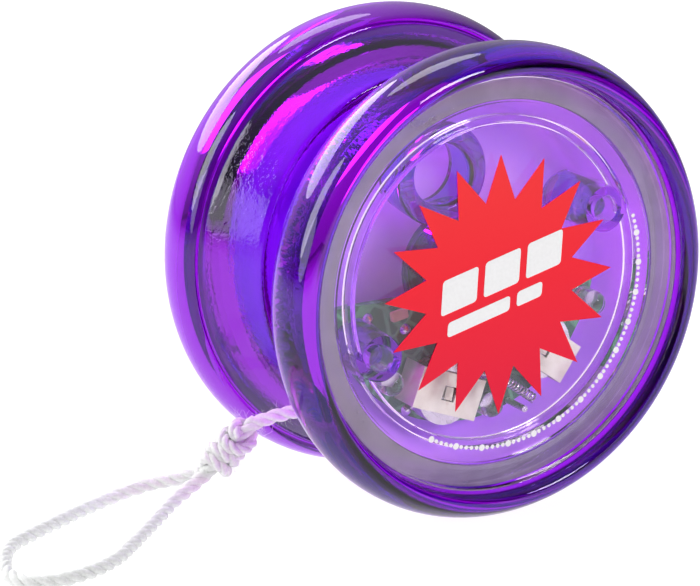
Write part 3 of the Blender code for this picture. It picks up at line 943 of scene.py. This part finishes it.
def make_board_parts(side):
    """Solder joints, three resistors and the clips' bent tabs on the circuit board."""
    matrix = half_matrix(side)
    solder = bmesh.new()
    for x, y in SOLDER_AT:
        bump = turned([(0, BOARD_TOP_Z), (0.75, BOARD_TOP_Z), (0.62, 7.05), (0.36, 7.3),
                       (0, 7.42)], 14, (x, y))
        mesh = bpy.data.meshes.new("spot")
        bump.to_mesh(mesh)
        bump.free()
        solder.from_mesh(mesh)
        bpy.data.meshes.remove(mesh)
    solder = finish_mesh(side + "_solder", solder, LOOKS["steel"], matrix)
    parts = bmesh.new()
    for x, y, turn in RESISTORS_AT:
        add_block(parts, (x, y, 7.4), turn, 0, (2.2, 1.2, 0.8))
    bmesh.ops.bevel(parts, geom=parts.edges[:], offset=0.12, segments=2, affect="EDGES")
    parts = finish_mesh(side + "_resistors", parts, LOOKS["part"], matrix)
    tabs = bmesh.new()
    for x, y, turn in CELLS_AT:
        add_block(tabs, (x, y, 11.12), turn, -10, (1.1, 1.5, 0.16))
    tabs = finish_mesh(side + "_clip_tabs", tabs, LOOKS["nickel"], matrix, 0)
    for piece, finish in ((solder, "steel"), (parts, "board"), (tabs, "nickel")):
        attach(piece, SPIN)


def paint_node(name, look):
    """Gives a CAD node that stays a better material."""
    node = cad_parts[name]
    for slot in node.material_slots:
        slot.material = LOOKS[look]
    if not node.material_slots:
        node.data.materials.append(LOOKS[look])


def make_half(side):
    """One half, front or rear, with all that is in it."""
    make_shell(side)
    make_cap(side)
    # grey ring under the cap's edge that paints the reflection of the surroundings
    make_painted_reflection_ring(side)
    make_liner(side)
    make_label(side)
    make_dot_ring(side)
    for number, (x, y) in enumerate(LEDS_AT, 1):
        make_led(side, number, x, y)
    make_spring(side)
    make_board_parts(side)
    paint_node(side + "_circuit_board", "board")
    for number in (1, 2):
        paint_node(f"{side}_battery_clip_{number}", "nickel")
        paint_node(f"{side}_button_cell_{number}", "steel")
    for part in ("spring_post", "contact_pin", "axle_nut"):
        paint_node(f"{side}_{part}", "steel")


make_half("front")
make_half("rear")
paint_node("axle", "steel")
paint_node("bearing_sleeve", "sleeve")


# ---------------------------------------------------------------- floor and light

def make_floor():
    """Pale glowing table with a trace of shadow; what the toy mirrors of it dims with distance."""
    mesh = bpy.data.meshes.new("floor")
    size = 2.5
    corners = [(-size, -size, 0), (size, -size, 0), (size, size, 0), (-size, size, 0)]
    mesh.from_pydata(corners, [], [(0, 1, 2, 3)])
    material, nodes, links = new_material("floor_white")
    shader = nodes["Principled BSDF"]
    shader.inputs["Base Color"].default_value = (0.25, 0.25, 0.25, 1)
    shader.inputs["Roughness"].default_value = 0.9
    shader.inputs["Specular IOR Level"].default_value = 0.0
    shader.inputs["Emission Color"].default_value = (1, 1, 1, 1)
    where = nodes.new("ShaderNodeTexCoord")
    reach = nodes.new("ShaderNodeVectorMath")
    reach.operation = "LENGTH"
    links.new(where.outputs["Object"], reach.inputs[0])
    glow = ramp_node(nodes, links, reach.outputs["Value"],
                     [(0.2, (PALE,) * 3), (0.5, (0.15,) * 3)])
    path = nodes.new("ShaderNodeLightPath")
    seen = nodes.new("ShaderNodeMix")
    links.new(path.outputs["Is Camera Ray"], seen.inputs["Factor"])
    links.new(glow.outputs["Color"], seen.inputs["A"])
    seen.inputs["B"].default_value = PALE
    links.new(seen.outputs["Result"], shader.inputs["Emission Strength"])
    mesh.materials.append(material)
    floor = bpy.data.objects.new("floor", mesh)
    floor.location.z = -0.0001
    bpy.context.collection.objects.link(floor)


def make_lamp(name, place, width, height, power):
    """Soft light turned towards the toy."""
    data = bpy.data.lights.new(name, "AREA")
    data.shape = "ELLIPSE"
    data.size = width
    data.size_y = height
    data.energy = power
    lamp = bpy.data.objects.new(name, data)
    lamp.location = place
    away = Vector(place) - Vector((0, 0, AXLE_HEIGHT * MM))
    lamp.rotation_euler = away.to_track_quat("Z", "Y").to_euler()
    bpy.context.collection.objects.link(lamp)


def make_world():
    """Pale room; clear edges mirror a brighter sky behind and above, and a dark side in front."""
    world = bpy.data.worlds.new("studio")
    world.use_nodes = True
    nodes, links = world.node_tree.nodes, world.node_tree.links
    where = nodes.new("ShaderNodeTexCoord")
    toward = nodes.new("ShaderNodeVectorMath")
    toward.operation = "DOT_PRODUCT"
    toward.inputs[1].default_value = BRIGHT_SIDE
    links.new(where.outputs["Generated"], toward.inputs[0])
    sky = ramp_node(nodes, links, toward.outputs["Value"],
                    [(0.1, (0.02,) * 3), (0.4, (0.25,) * 3), (0.8, (0.8,) * 3)])
    path = nodes.new("ShaderNodeLightPath")
    seen = nodes.new("ShaderNodeMix")
    seen.data_type = "RGBA"
    links.new(path.outputs["Is Camera Ray"], seen.inputs["Factor"])
    links.new(sky.outputs["Color"], seen.inputs["A"])
    seen.inputs["B"].default_value = (PALE, PALE, PALE, 1)
    links.new(seen.outputs["Result"], nodes["Background"].inputs["Color"])
    bpy.context.scene.world = world


make_floor()
make_world()
for lamp in LAMPS:
    make_lamp(*lamp)

scene = bpy.context.scene
scene.view_settings.view_transform = "Standard"
scene.cycles.max_bounces = 16
scene.cycles.transmission_bounces = 16
scene.cycles.transparent_max_bounces = 24
scene.cycles.glossy_bounces = 8
scene.cycles.diffuse_bounces = 4
